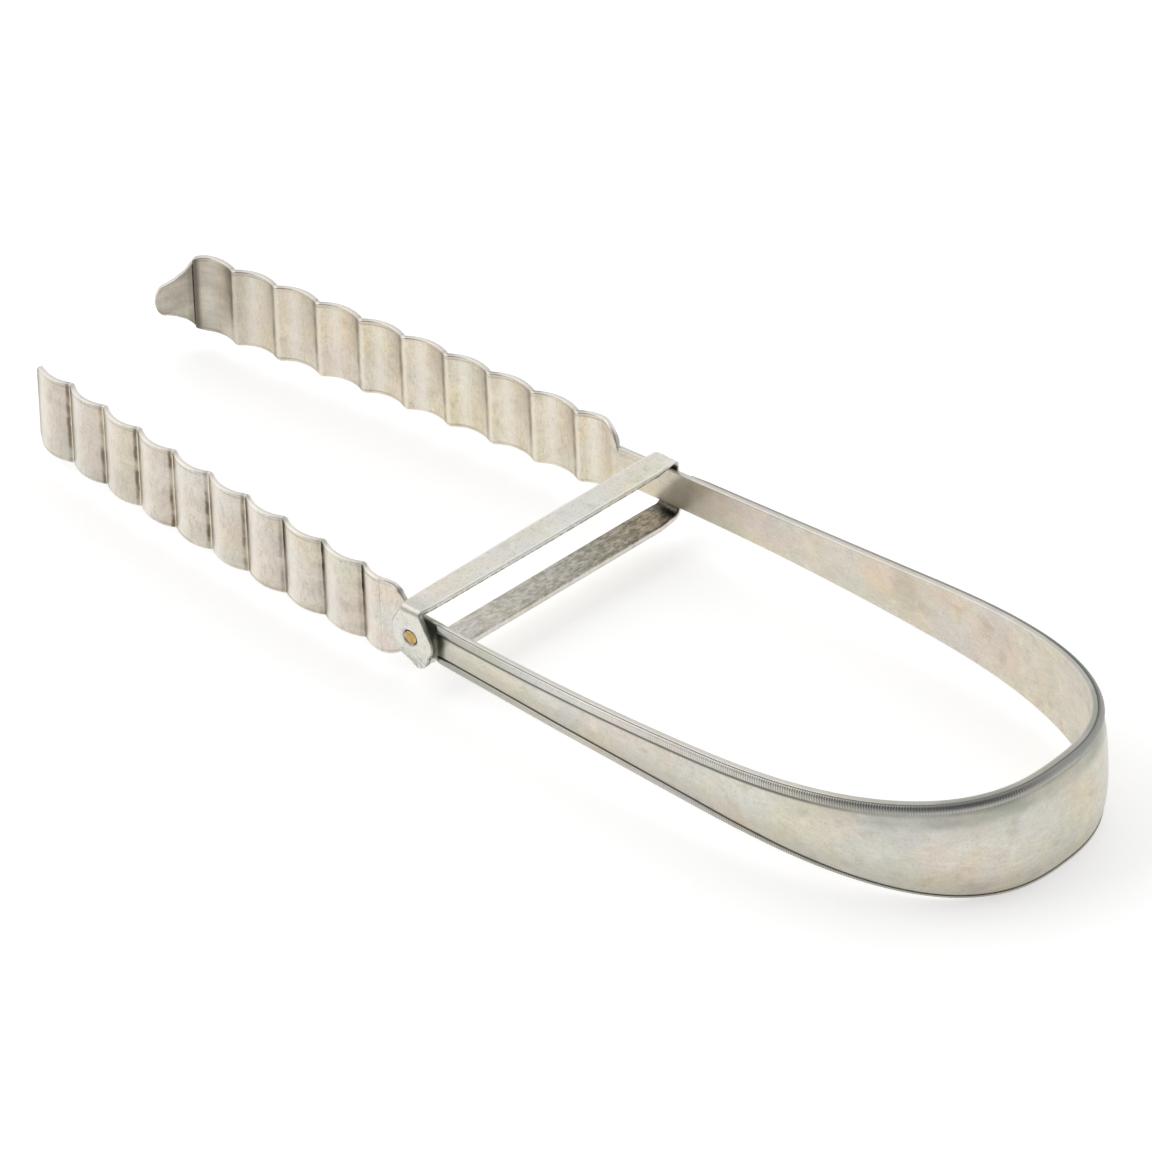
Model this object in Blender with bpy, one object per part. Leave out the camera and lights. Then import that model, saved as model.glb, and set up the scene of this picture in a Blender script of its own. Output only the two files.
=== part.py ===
"""Silver serving tongs with fluted blades: a sprung U-shaped strip, two fluted blades and a riveted guide.

The tongs lie on the lower edge of the bow. +X runs from the blade tips to the bow, +Z is up, and the two
halves mirror each other about the XZ plane. The near half is the one at negative Y.
"""

import math

import bmesh
import bpy
from mathutils import Vector

MM = 0.001

# The strip, seen from above: two slightly bowed arms and a squarish bow.
BOW_START_X = 59.5
BOW_LENGTH = 63.9
BOW_HALF_WIDTH = 34.6
BOW_POWER = 2.5
ARM_INWARD_CURVE = 0.0004
ARM_START_X = -16.7
SPLIT_ANGLE = math.radians(45.0)
SPLIT_GAP = 0.44

# The strip, seen from the side: narrow at the guide, wide at the bow.
ARM_HALF_HEIGHT = 4.25
BOW_HALF_HEIGHT = 12.5
TAPER_START_X = -10.5
TAPER_POWER = 1.95
ARM_THICKNESS = 1.1
BOW_THICKNESS = 1.6
BOW_CROWN = 1.7
CROWN_POWER = 2.6
STRIP_CHAMFER = 0.2

# The milled wires along both edges of the strip's outer face.
NEAR_BORDER_START_X = -5.0
FAR_BORDER_START_X = 0.5
BORDER_WIDTH = 1.9
ARM_BORDER_RISE = 0.55
BOW_BORDER_RISE = 0.8
SOLDER_GAP = 0.02

# The blades: flutes from the root (at the arm) to the tip, then the claw.
FLUTE_PITCHES = (10.0, 11.0, 10.8, 10.5, 10.4, 10.35, 10.2, 10.05, 9.95, 9.8)
FLUTE_DEPTH = 1.45
VALLEY_RADIUS = 0.75
BLADE_THICKNESS = 1.05
BLADE_ROOT_X = -17.2
BLADE_ROOT_Y = 32.2
BLADE_TOE_SLOPE = 0.036
BLADE_TOE_CURVE = 0.00054
# Half-heights at the root and at the tip: the two blades are hand-raised and differ a little.
NEAR_BLADE_HALF_HEIGHTS = (9.0, 9.7)
FAR_BLADE_HALF_HEIGHTS = (8.5, 9.15)
SHOULDER_LENGTH = 4.4
CORNER_LENGTH = 3.0
CORNER_HALF_HEIGHT = 8.1
CLAW_LENGTH = 8.0
CLAW_ANGLE = math.radians(50.0)
CLAW_DROP = 1.2
CLAW_HALF_HEIGHTS = ((0.0, 8.1), (0.12, 6.8), (0.25, 5.75), (0.5, 4.45), (0.72, 3.7))
CLAW_TIP_START = 0.72

# The guide: a flat bar bent round both arms, closed by an ear-shaped cheek on the near arm. Heights are from the
# mid-plane of the tongs.
GUIDE_WIDTH = 6.1
GUIDE_THICKNESS = 1.2
GUIDE_TOP_Z = 6.9
GUIDE_LOW_Z = -6.7
GUIDE_NEAR_X = -12.35
GUIDE_SKEW = 0.102
GUIDE_NEAR_Y = -35.75
GUIDE_FAR_Y = 34.95
GUIDE_TOP_BEND = 1.7
GUIDE_LOW_BEND = 2.2
CHEEK_OUTLINE = (
    (-15.8, 4.0), (-16.6, 2.4), (-16.4, 0.4), (-15.3, -1.3), (-14.9, -3.3), (-13.9, -5.0), (-11.8, -5.7),
    (-9.5, -6.1), (-7.8, -5.2), (-6.9, -3.4), (-5.8, -1.8), (-5.5, 0.5), (-5.9, 2.6), (-6.8, 4.4),
)
CHEEK_THICKNESS = 1.2

# The rivet that holds the cheek to the near arm.
RIVET_X = -12.2
RIVET_RADIUS = 1.7
RIVET_HEAD_RADIUS = 2.35
RIVET_HEAD_DEPTH = 0.6
RIVET_INNER_RADIUS = 2.6
RIVET_INNER_DEPTH = 0.8
SPACER_RADIUS = 2.9
RIVET_INNER_LIFT = 0.2
RUNNING_GAP = 0.08

MID_Z = BOW_HALF_HEIGHT


def clear_scene():
    for obj in list(bpy.data.objects):
        bpy.data.objects.remove(obj, do_unlink=True)


def collection(name, helper=False):
    made = bpy.data.collections.new(name)
    bpy.context.scene.collection.children.link(made)
    made.hide_render = helper
    return made


def metal(name, colour, roughness):
    made = bpy.data.materials.new(name)
    made.use_nodes = True
    shader = made.node_tree.nodes["Principled BSDF"]
    shader.inputs["Base Color"].default_value = (*colour, 1.0)
    shader.inputs["Metallic"].default_value = 1.0
    shader.inputs["Roughness"].default_value = roughness
    return made


def add_mesh(name, verts, faces, group, material, origin=(0.0, 0.0, 0.0)):
    """A mesh object from points in millimetres, with its origin at the given point."""
    centre = Vector(origin)
    mesh = bpy.data.meshes.new(name)
    mesh.from_pydata([(Vector(v) - centre) * MM for v in verts], [], faces)
    shape = bmesh.new()
    shape.from_mesh(mesh)
    bmesh.ops.recalc_face_normals(shape, faces=shape.faces)
    shape.to_mesh(mesh)
    shape.free()
    if material:
        mesh.materials.append(material)
    obj = bpy.data.objects.new(name, mesh)
    obj.location = centre * MM
    group.objects.link(obj)
    return obj


def loft(sections):
    """Points and faces of a closed body through sections that all have the same number of points."""
    count = len(sections[0])
    verts = [point for section in sections for point in section]
    faces = [tuple(range(count))]
    for row in range(len(sections) - 1):
        low = row * count
        for k in range(count):
            after = (k + 1) % count
            faces.append((low + k, low + count + k, low + count + after, low + after))
    last = (len(sections) - 1) * count
    faces.append(tuple(range(last + count - 1, last - 1, -1)))
    return verts, faces


def with_normals(points, side):
    """Each plan point with its outward unit normal, where side is -1 for the near half and 1 for the far."""
    stations = []
    for k, (x, y) in enumerate(points):
        before = points[max(k - 1, 0)]
        after = points[min(k + 1, len(points) - 1)]
        dx, dy = after[0] - before[0], after[1] - before[1]
        size = math.hypot(dx, dy)
        stations.append((x, y * side, -dy / size, dx / size * side))
    return stations


def evenly(points, step):
    """The same plan curve with its points at equal distances of about one step."""
    along = [0.0]
    for a, b in zip(points, points[1:]):
        along.append(along[-1] + math.dist(a, b))
    count = max(round(along[-1] / step), 1)
    made, k = [], 0
    for i in range(count + 1):
        target = along[-1] * i / count
        while k < len(along) - 2 and along[k + 1] < target:
            k += 1
        share = (target - along[k]) / (along[k + 1] - along[k])
        a, b = points[k], points[k + 1]
        made.append((a[0] + (b[0] - a[0]) * share, a[1] + (b[1] - a[1]) * share))
    return made


def taper(x):
    """0 at the guide end of an arm, 1 at the end of the bow."""
    end = BOW_START_X + BOW_LENGTH
    return max(x - TAPER_START_X, 0.0) / (end - TAPER_START_X)


def strip_half_height(x):
    return ARM_HALF_HEIGHT + (BOW_HALF_HEIGHT - ARM_HALF_HEIGHT) * min(taper(x), 1.0) ** TAPER_POWER


def strip_thickness(x):
    return ARM_THICKNESS + (BOW_THICKNESS - ARM_THICKNESS) * min(taper(x), 1.0)


def border_rise(x):
    return ARM_BORDER_RISE + (BOW_BORDER_RISE - ARM_BORDER_RISE) * min(taper(x), 1.0)


def arm_y(x):
    return BOW_HALF_WIDTH - ARM_INWARD_CURVE * (BOW_START_X - x) ** 2


def bow_point(angle):
    """A point on the bow's centre line: the end of the bow at 0, the start of an arm at a quarter turn."""
    power = 2.0 / BOW_POWER
    return (
        BOW_START_X + BOW_LENGTH * max(math.cos(angle), 0.0) ** power,
        BOW_HALF_WIDTH * max(math.sin(angle), 0.0) ** power,
    )


def bow_curve(first, last, count=400):
    return [bow_point(first + (last - first) * k / count) for k in range(count + 1)]


def shortened(points, start=0.0, end=0.0):
    """A plan curve with the given lengths taken off its ends."""
    fine = evenly(points, 0.02)
    step = math.dist(fine[0], fine[1])
    return fine[round(start / step): len(fine) - round(end / step)]


def crown_height(x):
    """How far the strip's mid-height stands out beyond its edges."""
    return BOW_CROWN * min(taper(x), 1.0) ** CROWN_POWER


def ribbon_section(station, thickness, half_height, chamfer, crown=0.0, rows=1, drop=0.0):
    """A chamfered upright rectangle on the station, bulging outward by the crown at mid-height."""
    x, y, nx, ny = station
    half = thickness / 2
    c = min(chamfer, half_height * 0.4)
    reach = half_height - c
    levels = [reach * (1 - 2 * k / rows) for k in range(rows + 1)]
    outline = [(-half + c, half_height), (half - c, half_height)]
    outline += [(half, z) for z in levels]
    outline += [(half - c, -half_height), (-half + c, -half_height)]
    outline += [(-half, z) for z in reversed(levels)]
    section = []
    for off, z in outline:
        out = off + crown * (1 - (z / half_height) ** 2)
        section.append((x + nx * out, y + ny * out, MID_Z + z - drop))
    return section


def strip_body(name, stations, group, material, origin=(0.0, 0.0, 0.0)):
    sections = [
        ribbon_section(
            station, strip_thickness(station[0]), strip_half_height(station[0]), STRIP_CHAMFER,
            crown_height(station[0]), rows=6,
        )
        for station in stations
    ]
    return add_mesh(name, *loft(sections), group, material, origin)


def border_body(name, stations, upper, group, material, origin=(0.0, 0.0, 0.0)):
    """A half-round wire along one edge of the strip's outer face."""
    sections = []
    for station in stations:
        x, y, nx, ny = station
        half_height = strip_half_height(x)
        inner_edge = 1 - BORDER_WIDTH / half_height
        base = strip_thickness(x) / 2 + SOLDER_GAP + crown_height(x) * (1 - inner_edge ** 2)
        centre = (half_height - BORDER_WIDTH / 2) * (1 if upper else -1)
        section = []
        for k in range(7):
            angle = math.pi * k / 6
            off = base + border_rise(x) * math.sin(angle) ** 0.6
            z = centre + BORDER_WIDTH / 2 * math.cos(angle)
            section.append((x + nx * off, y + ny * off, MID_Z + z))
        sections.append(section)
    return add_mesh(name, *loft(sections), group, material, origin)


def blade_line(x):
    """The valley line of a blade, seen from above."""
    back = BLADE_ROOT_X - x
    return BLADE_ROOT_Y - BLADE_TOE_SLOPE * back - BLADE_TOE_CURVE * back * back


def blade_half_height(x, tip_x, ends):
    """The blade's half-height along its flutes, rounded at the shoulder and at the corner by the claw."""
    share = (BLADE_ROOT_X - x) / (BLADE_ROOT_X - tip_x)
    full = ends[0] + (ends[1] - ends[0]) * share
    from_root = BLADE_ROOT_X - x
    if from_root < SHOULDER_LENGTH:
        rise = math.sqrt(max(1 - (1 - from_root / SHOULDER_LENGTH) ** 2, 0.0))
        return ARM_HALF_HEIGHT + (full - ARM_HALF_HEIGHT) * rise
    from_tip = x - tip_x
    if from_tip < CORNER_LENGTH:
        rise = math.sqrt(max(1 - (1 - from_tip / CORNER_LENGTH) ** 2, 0.0))
        return CORNER_HALF_HEIGHT + (full - CORNER_HALF_HEIGHT) * rise
    return full


def flute_curve(pitch, depth, radius, steps):
    """(along, out) points from one valley to the next: half a valley arc, the crest arc, half a valley arc."""
    reach = (pitch * pitch / 4 + depth * depth) / (2 * depth)
    crest = reach - radius
    turn = math.asin(pitch / 2 / reach)
    points = [(radius * math.sin(turn * k / 2), radius - radius * math.cos(turn * k / 2)) for k in range(2)]
    for k in range(steps + 1):
        angle = turn * (1 - 2 * k / steps)
        points.append((pitch / 2 - crest * math.sin(angle), depth - crest + crest * math.cos(angle)))
    points += [(pitch - along, out) for along, out in reversed(points[:2])]
    return points


def claw_half_height(share):
    if share > CLAW_TIP_START:
        rounding = (share - CLAW_TIP_START) / (1 - CLAW_TIP_START)
        return max(CLAW_HALF_HEIGHTS[-1][1] * math.sqrt(max(1 - rounding * rounding, 0.0)), 0.35)
    for (a, low), (b, high) in zip(CLAW_HALF_HEIGHTS, CLAW_HALF_HEIGHTS[1:]):
        if share <= b:
            return low + (high - low) * (share - a) / (b - a)
    return CLAW_HALF_HEIGHTS[-1][1]


def blade_stations(ends):
    """Plan points from the root to the claw's tip, each with its half-height and how far the claw sags there."""
    tip_x = BLADE_ROOT_X - sum(FLUTE_PITCHES)
    points, heights = [], []
    root_x = BLADE_ROOT_X
    for pitch in FLUTE_PITCHES:
        for along, out in flute_curve(pitch, FLUTE_DEPTH, VALLEY_RADIUS, 8):
            x = root_x - along
            slope = BLADE_TOE_SLOPE + 2 * BLADE_TOE_CURVE * (BLADE_ROOT_X - x)
            place = (x - out * slope, blade_line(x) + out)
            if points and math.dist(points[-1], place) < 0.05:
                continue
            points.append(place)
            heights.append((blade_half_height(x, tip_x, ends), 0.0))
        root_x -= pitch
    corner_x, corner_y = points[-1]
    steps = 14
    for k in range(1, steps + 1):
        share = math.sin(math.pi / 2 * k / steps)
        reach = CLAW_LENGTH * share
        points.append((corner_x - math.cos(CLAW_ANGLE) * reach, corner_y - math.sin(CLAW_ANGLE) * reach))
        heights.append((claw_half_height(share), CLAW_DROP * share))
    return points, heights


def blade_body(name, side, ends, group, material, origin):
    points, heights = blade_stations(ends)
    toward_root = list(reversed(points))
    stations = with_normals(toward_root, side)
    sections = [
        ribbon_section(station, BLADE_THICKNESS, height, STRIP_CHAMFER, drop=drop)
        for station, (height, drop) in zip(stations, reversed(heights))
    ]
    return add_mesh(name, *loft(sections), group, material, origin)


def arm_curve():
    """An arm's plan curve, from the blade to the split in the bow."""
    steps = 200
    length = BOW_START_X - ARM_START_X
    points = []
    for k in range(steps):
        x = ARM_START_X + length * k / steps
        points.append((x, arm_y(x)))
    points += bow_curve(math.pi / 2, SPLIT_ANGLE)
    return shortened(points, end=SPLIT_GAP / 2)


def crown_curve():
    """The bow between the two splits, from the near side round to the far side."""
    half = shortened(bow_curve(SPLIT_ANGLE, 0.0), start=SPLIT_GAP / 2)
    near = [(x, -y) for x, y in half]
    return near + [(x, y) for x, y in reversed(half[:-1])]


def past(points, x):
    return [point for point in points if point[0] >= x]


def strip_parts(group, silver):
    """The crown of the bow and the two arms, each with its two border wires."""
    crown = evenly(crown_curve(), 2.2)
    # Running from the near side to the far side, the outward normal is on the right.
    stations = [(x, y, -nx, -ny) for x, y, nx, ny in with_normals(crown, 1)]
    strip_body("bow_strip", stations, group, silver)
    border_body("bow_upper_border", stations, True, group, silver)
    border_body("bow_lower_border", stations, False, group, silver)
    halves = (
        ("near", -1, NEAR_BORDER_START_X, NEAR_BLADE_HALF_HEIGHTS),
        ("far", 1, FAR_BORDER_START_X, FAR_BLADE_HALF_HEIGHTS),
    )
    for name, side, border_x, blade_ends in halves:
        split_x, split_y = bow_point(SPLIT_ANGLE)
        pivot = (split_x, split_y * side, MID_Z)
        stations = with_normals(evenly(arm_curve(), 2.4), side)
        strip_body(name + "_arm_strip", stations, group, silver, pivot)
        stations = with_normals(evenly(past(arm_curve(), border_x), 2.4), side)
        border_body(name + "_upper_border", stations, True, group, silver, pivot)
        border_body(name + "_lower_border", stations, False, group, silver, pivot)
        blade_body(name + "_blade", side, blade_ends, group, silver, pivot)


def guide_path():
    """(y, z) points down the middle of the bent bar and its upward side, from the near end of the top bar."""
    top = GUIDE_TOP_Z - GUIDE_THICKNESS / 2
    low = GUIDE_LOW_Z + GUIDE_THICKNESS / 2
    far = GUIDE_FAR_Y - GUIDE_THICKNESS / 2
    near = GUIDE_NEAR_Y + GUIDE_THICKNESS / 2
    path = []
    bends = (
        (near + GUIDE_TOP_BEND, top - GUIDE_TOP_BEND, GUIDE_TOP_BEND, 180, 90),
        (far - GUIDE_TOP_BEND, top - GUIDE_TOP_BEND, GUIDE_TOP_BEND, 90, 0),
        (far - GUIDE_LOW_BEND, low + GUIDE_LOW_BEND, GUIDE_LOW_BEND, 0, -90),
    )
    for y, z, radius, first, last in bends:
        for k in range(9):
            angle = math.radians(first + (last - first) * k / 8)
            out = (math.cos(angle), math.sin(angle))
            path.append((y + radius * out[0], z + radius * out[1], out))
    path.append((GUIDE_NEAR_Y + CHEEK_THICKNESS + RUNNING_GAP, low, (0.0, -1.0)))
    return path


def guide_body(group, silver):
    """The bar bent into a stirrup. Seen from above it runs askew, so each point moves toward +X with its Y."""
    edge = 0.18
    flat = GUIDE_THICKNESS / 2
    wide = GUIDE_WIDTH / 2
    sections = []
    for y, z, out in guide_path():
        centre = GUIDE_NEAR_X + GUIDE_SKEW * (y - GUIDE_NEAR_Y)
        corners = (
            (-wide, flat - edge), (edge - wide, flat), (wide - edge, flat), (wide, flat - edge),
            (wide, edge - flat), (wide - edge, -flat), (edge - wide, -flat), (-wide, edge - flat),
        )
        sections.append([(centre + dx, y + out[0] * off, MID_Z + z + out[1] * off) for dx, off in corners])
    add_mesh("guide_bar", *loft(sections), group, silver, (RIVET_X, GUIDE_NEAR_Y, MID_Z))


def disc(name, radii, group, material, origin, sides=48):
    """A turned body about the Y axis through the rivet, from (y, radius) steps."""
    sections = []
    for y, radius in radii:
        ring = [2 * math.pi * k / sides for k in range(sides)]
        sections.append([(RIVET_X + radius * math.cos(a), y, MID_Z + radius * math.sin(a)) for a in ring])
    return add_mesh(name, *loft(sections), group, material, origin)


def cut(obj, cutter):
    modifier = obj.modifiers.new("Cut_" + cutter.name, "BOOLEAN")
    modifier.operation = "DIFFERENCE"
    modifier.solver = "EXACT"
    modifier.object = cutter
    cutter.display_type = "WIRE"
    cutter.hide_render = True


def smooth_outline(corners, steps=4):
    """An open outline eased through its corners with Catmull-Rom pieces."""
    made = []
    for k in range(len(corners) - 1):
        before = corners[max(k - 1, 0)]
        start, end = corners[k], corners[k + 1]
        after = corners[min(k + 2, len(corners) - 1)]
        for step in range(steps):
            t = step / steps
            made.append(tuple(
                b + 0.5 * t * (c - a + t * (2 * a - 5 * b + 4 * c - d + t * (3 * (b - c) + d - a)))
                for a, b, c, d in zip(before, start, end, after)
            ))
    made.append(corners[-1])
    return made


def cheek_body(group, cutters, silver):
    """The ear-shaped plate outside the near arm, below the bend of the top bar."""
    top = GUIDE_TOP_Z - GUIDE_THICKNESS / 2 - GUIDE_TOP_BEND - RUNNING_GAP
    left = GUIDE_NEAR_X - GUIDE_WIDTH / 2
    right = GUIDE_NEAR_X + GUIDE_WIDTH / 2
    outline = smooth_outline(((left, top), *CHEEK_OUTLINE, (right + 1.2, top)))
    outer = GUIDE_NEAR_Y
    inner = GUIDE_NEAR_Y + CHEEK_THICKNESS
    sections = [[(x, y, MID_Z + z) for x, z in outline] for y in (outer, inner)]
    obj = add_mesh("guide_cheek", *loft(sections), group, silver, (RIVET_X, GUIDE_NEAR_Y, MID_Z))
    hole = disc(
        "cheek_hole",
        (
            (outer - 1.0, RIVET_HEAD_RADIUS + RUNNING_GAP),
            (outer, RIVET_HEAD_RADIUS + RUNNING_GAP),
            (outer + RIVET_HEAD_DEPTH + RUNNING_GAP, RIVET_RADIUS + RUNNING_GAP),
            (inner + 1.0, RIVET_RADIUS + RUNNING_GAP),
        ),
        cutters, None, (RIVET_X, GUIDE_NEAR_Y, MID_Z),
    )
    cut(obj, hole)


def rivet_parts(group, cutters, brass, silver):
    """The brass rivet through the cheek, the spacer and the near arm."""
    arm_mid = -arm_y(RIVET_X)
    arm_outer = arm_mid - ARM_THICKNESS / 2
    arm_inner = arm_mid + ARM_THICKNESS / 2
    cheek_inner = GUIDE_NEAR_Y + CHEEK_THICKNESS
    split_x, split_y = bow_point(SPLIT_ANGLE)
    pivot = (split_x, -split_y, MID_Z)
    lift = RIVET_INNER_LIFT
    disc(
        "guide_rivet",
        (
            (GUIDE_NEAR_Y - 0.05, RIVET_HEAD_RADIUS - 0.3),
            (GUIDE_NEAR_Y + 0.05, RIVET_HEAD_RADIUS - 0.05),
            (GUIDE_NEAR_Y + RIVET_HEAD_DEPTH, RIVET_RADIUS),
            (arm_inner + lift, RIVET_RADIUS),
            (arm_inner + lift, RIVET_INNER_RADIUS),
            (arm_inner + lift + RIVET_INNER_DEPTH * 0.6, RIVET_INNER_RADIUS - 0.2),
            (arm_inner + lift + RIVET_INNER_DEPTH, RIVET_INNER_RADIUS - 1.1),
        ),
        group, brass, pivot,
    )
    spacer = disc(
        "guide_spacer",
        ((cheek_inner + RUNNING_GAP, SPACER_RADIUS), (arm_outer - lift, SPACER_RADIUS)),
        group, silver, pivot,
    )
    bore = disc(
        "rivet_bore",
        ((cheek_inner - 2.0, RIVET_RADIUS + RUNNING_GAP), (arm_inner + 2.0, RIVET_RADIUS + RUNNING_GAP)),
        cutters, None, pivot,
    )
    cut(spacer, bore)
    cut(bpy.data.objects["near_arm_strip"], bore)
    cut(bpy.data.objects["near_blade"], bore)


def build():
    clear_scene()
    group = collection("Serving_Tongs")
    cutters = collection("Cutters", helper=True)
    silver = metal("Silver", (0.78, 0.76, 0.71), 0.34)
    brass = metal("Brass", (0.72, 0.50, 0.22), 0.4)
    strip_parts(group, silver)
    guide_body(group, silver)
    cheek_body(group, cutters, silver)
    rivet_parts(group, cutters, brass, silver)


build()
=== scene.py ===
"""The looks of the silver serving tongs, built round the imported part. Lengths below are millimetres."""

import math
from types import SimpleNamespace

import bpy
import numpy as np
from mathutils import Matrix, Vector


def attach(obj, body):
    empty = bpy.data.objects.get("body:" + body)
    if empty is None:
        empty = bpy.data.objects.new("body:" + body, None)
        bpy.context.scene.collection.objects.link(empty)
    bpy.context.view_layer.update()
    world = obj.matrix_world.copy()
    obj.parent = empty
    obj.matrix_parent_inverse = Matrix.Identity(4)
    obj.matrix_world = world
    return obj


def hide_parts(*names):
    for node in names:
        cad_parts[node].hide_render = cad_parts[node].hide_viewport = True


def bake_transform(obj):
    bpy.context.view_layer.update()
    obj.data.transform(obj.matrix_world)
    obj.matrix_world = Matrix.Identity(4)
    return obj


MM = 0.001
MID_Z = 12.5

# The strip. Along is measured from the middle of the bow, and up and down from MID_Z.
BOW_START_X = 59.5
BOW_LENGTH = 63.9
BOW_HALF_WIDTH = 34.6
BOW_POWER = 2.5
ARM_INWARD_CURVE = 0.0004
ARM_HALF_HEIGHT = 4.25
ARM_DROP = 0.40
ARM_DROP_SHARES = ((-20.0, 0.0), (-14.0, 1.0), (25.0, 1.0), (75.0, 0.0))
BOW_HALF_HEIGHT = 12.5
TAPER_START_X = -10.5
TAPER_POWER = 1.95
ARM_THICKNESS = 1.1
BOW_THICKNESS = 1.6
BOW_CROWN = 1.7
CROWN_POWER = 2.6
CROWN_FULLNESS = 3.0

# The milled border wires.
BORDER_START_X = {"near": -7.5, "far": 0.5}
BORDER_FADE = {"near": 1.0, "far": 4.0}
BORDER_WIDTH = 1.9
ARM_BORDER_RISE = 0.55
BOW_BORDER_RISE = 0.8
BORDER_LEAST_RISE = 0.12
BORDER_SINK = 0.02
BORDER_POINTS = 12
# The lower border is narrower, most of all round the bow.
LOW_BORDER_NARROWING, LOW_BORDER_BOW_NARROWING = 0.2, 0.45
LOW_BORDER_CHANGE_END, LOW_BORDER_CHANGE_LENGTH = 80.0, 50.0
RIB_PITCH = 0.55
RIB_DEPTH = 0.13
# The ribs fade out toward the guide, and are worn at the middle of the bow.
RIB_END, RIB_FADE_LENGTH = 110, 50
RIB_BOW_STRENGTH, RIB_BOW_LENGTH = 0.30, 60

# The blades and their claws.
FLUTE_PITCHES = (10.0, 11.0, 10.8, 10.5, 10.4, 10.35, 10.2, 10.05, 9.95, 9.8)
FLUTE_DEPTH = 1.45
VALLEY_RADIUS = 0.75
BLADE_THICKNESS = 1.05
BLADE_ROOT_X = -17.2
BLADE_ROOT_Y = 32.2
BLADE_TOE_SLOPE = 0.036
BLADE_TOE_CURVE = 0.00054
MEAN_PITCH = 10.3
FAR_FROM_CREASE = 50.0
# At the root and at the tip.
BLADE_HALF_HEIGHTS = {"near": (9.0, 9.7), "far": (8.5, 9.15)}
SHOULDER_LENGTH = 4.4
# As (x, half-height).
NEAR_SHOULDER = ((-20.5, 9.05), (-18.7, 8.5), (-17.3, 7.4), (-16.0, 6.0), (-15.0, 4.65), (-14.9, 0.0))
CORNER_LENGTH = 3.0
CORNER_HALF_HEIGHT = 8.1
CLAW_LENGTH = 8.0
CLAW_ANGLE = math.radians(50.0)
CLAW_DROP = 1.2
# As (share of the claw's length, half-height).
CLAW_HALF_HEIGHTS = ((0.0, 8.1), (0.12, 6.8), (0.25, 5.75), (0.5, 4.45), (0.72, 3.7))
CLAW_TIP_START = 0.72
CLAW_END_HALF_HEIGHT = 0.4

# How far the sheet's rims are rounded, as a share of its thickness, and how finely it is divided.
RIM_ROUNDING = 0.26
STRIP_STEP = 0.6
STRIP_END_GAP = 0.3
LEAST_STEP = 0.04
FLUTE_STEPS = 26
CLAW_STEPS = 24

# The guide and its rivet.
GUIDE_WIDTH = 6.1
# Shares of the width along the top bar, by the distance from the ear.
TOP_BAR_WIDTHS = ((0.0, 0.80), (2.5, 0.90), (6.0, 0.93), (35.0, 1.0), (58.0, 0.98))
LOW_BAR_EXTRA_WIDTH = 0.4
LOW_BAR_EXTRA_HALF_THICKNESS = 0.15
# The far end is worn narrower and thinner than the bars.
WORN_START_Y = 28.0
WORN_NARROWING = 0.9
WORN_HALF_THINNING = 0.18
GUIDE_THICKNESS = 1.2
GUIDE_TOP_Z = 6.9
GUIDE_LOW_Z = -6.7
GUIDE_NEAR_X = -12.35
GUIDE_SKEW = 0.102
GUIDE_ROUNDING = 0.3
GUIDE_NEAR_Y = -35.75
GUIDE_FAR_Y = 34.65
GUIDE_NEAR_FOLD = 1.0
GUIDE_TOP_BEND = 1.7
GUIDE_LOW_BEND = 1.8
LOW_BAR_GAP = 0.1
# The ear's outline, as (z, x) from top to bottom along each side.
EAR_LEFT = (
    (7.0, -14.6), (5.3, -15.2), (3.0, -16.5), (0.9, -17.0), (-1.2, -16.7), (-3.0, -16.2),
    (-4.4, -15.1), (-5.1, -13.5), (-5.6, -12.5), (-6.1, -11.8), (-6.5, -10.9),
)
EAR_RIGHT = (
    (7.0, -9.9), (5.7, -9.5), (4.2, -8.8), (3.0, -8.1), (1.8, -7.4), (0.8, -6.9), (-0.4, -6.6),
    (-1.6, -6.7), (-2.6, -7.2), (-3.3, -7.8), (-4.2, -7.9), (-5.3, -8.3), (-6.0, -8.9), (-6.5, -9.8),
)
EAR_TOP_Z = 7.0
# The sides of the low bar where it narrows into the ear's foot, and how far from the ear it does so.
FOOT_LEFT, FOOT_RIGHT = -12.4, -9.9
FOOT_TAPER = (3.2, 6.5)
EAR_STEPS = 44
BAR_STEPS = 60
RIVET_X = -12.2
RIVET_RADIUS = 1.7
RIVET_RECESS_RADIUS = 1.95
DOME_RADIUS = 1.50
# The rivet's inner head, as (depth, radius).
INNER_HEAD = ((0.0, 2.5), (0.25, 2.6), (0.55, 2.3), (0.8, 1.5), (0.82, 0.1))
ARM_INNER_Y = -31.93

# The one soft stain inside the far arm.
ARM_STAIN_PLACE = (55.5, 33.7, 13.5)

# The floor and the room.
FLOOR_HALF_SIZE_M = 3.0
FLOOR_GLOW = 0.46
ROOM_BRIGHT, ROOM_DIM = 0.95, 0.22
# The direction in which the room is dimmest.
DIM_SIDE = (0.62, -0.67, 0.41)
LEFT_LIGHT_PLACE_M = (-0.55, -0.35, 0.75)
LEFT_LIGHT_SIZE_M = 0.8
LEFT_LIGHT_POWER = 1.7

# The camera: its aim, its direction and its very long lens.
AIM = (0.18, -0.62, 12.5)
AZIMUTH = -47.217
ELEVATION = 37.075
ROLL = -2.795
DISTANCE = 7490.5
LENS = 1197.4

SIDES = {"near": -1, "far": 1}


# ---------------------------------------------------------------- the strip's shape


def table(rows, place):
    """A value read between the rows of a table of (place, value)."""
    return float(np.interp(place, *zip(*rows)))


def taper(x):
    end = BOW_START_X + BOW_LENGTH
    return min(max(x - TAPER_START_X, 0.0) / (end - TAPER_START_X), 1.0)


def strip_half_height(x):
    return ARM_HALF_HEIGHT + (BOW_HALF_HEIGHT - ARM_HALF_HEIGHT) * taper(x) ** TAPER_POWER


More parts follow.
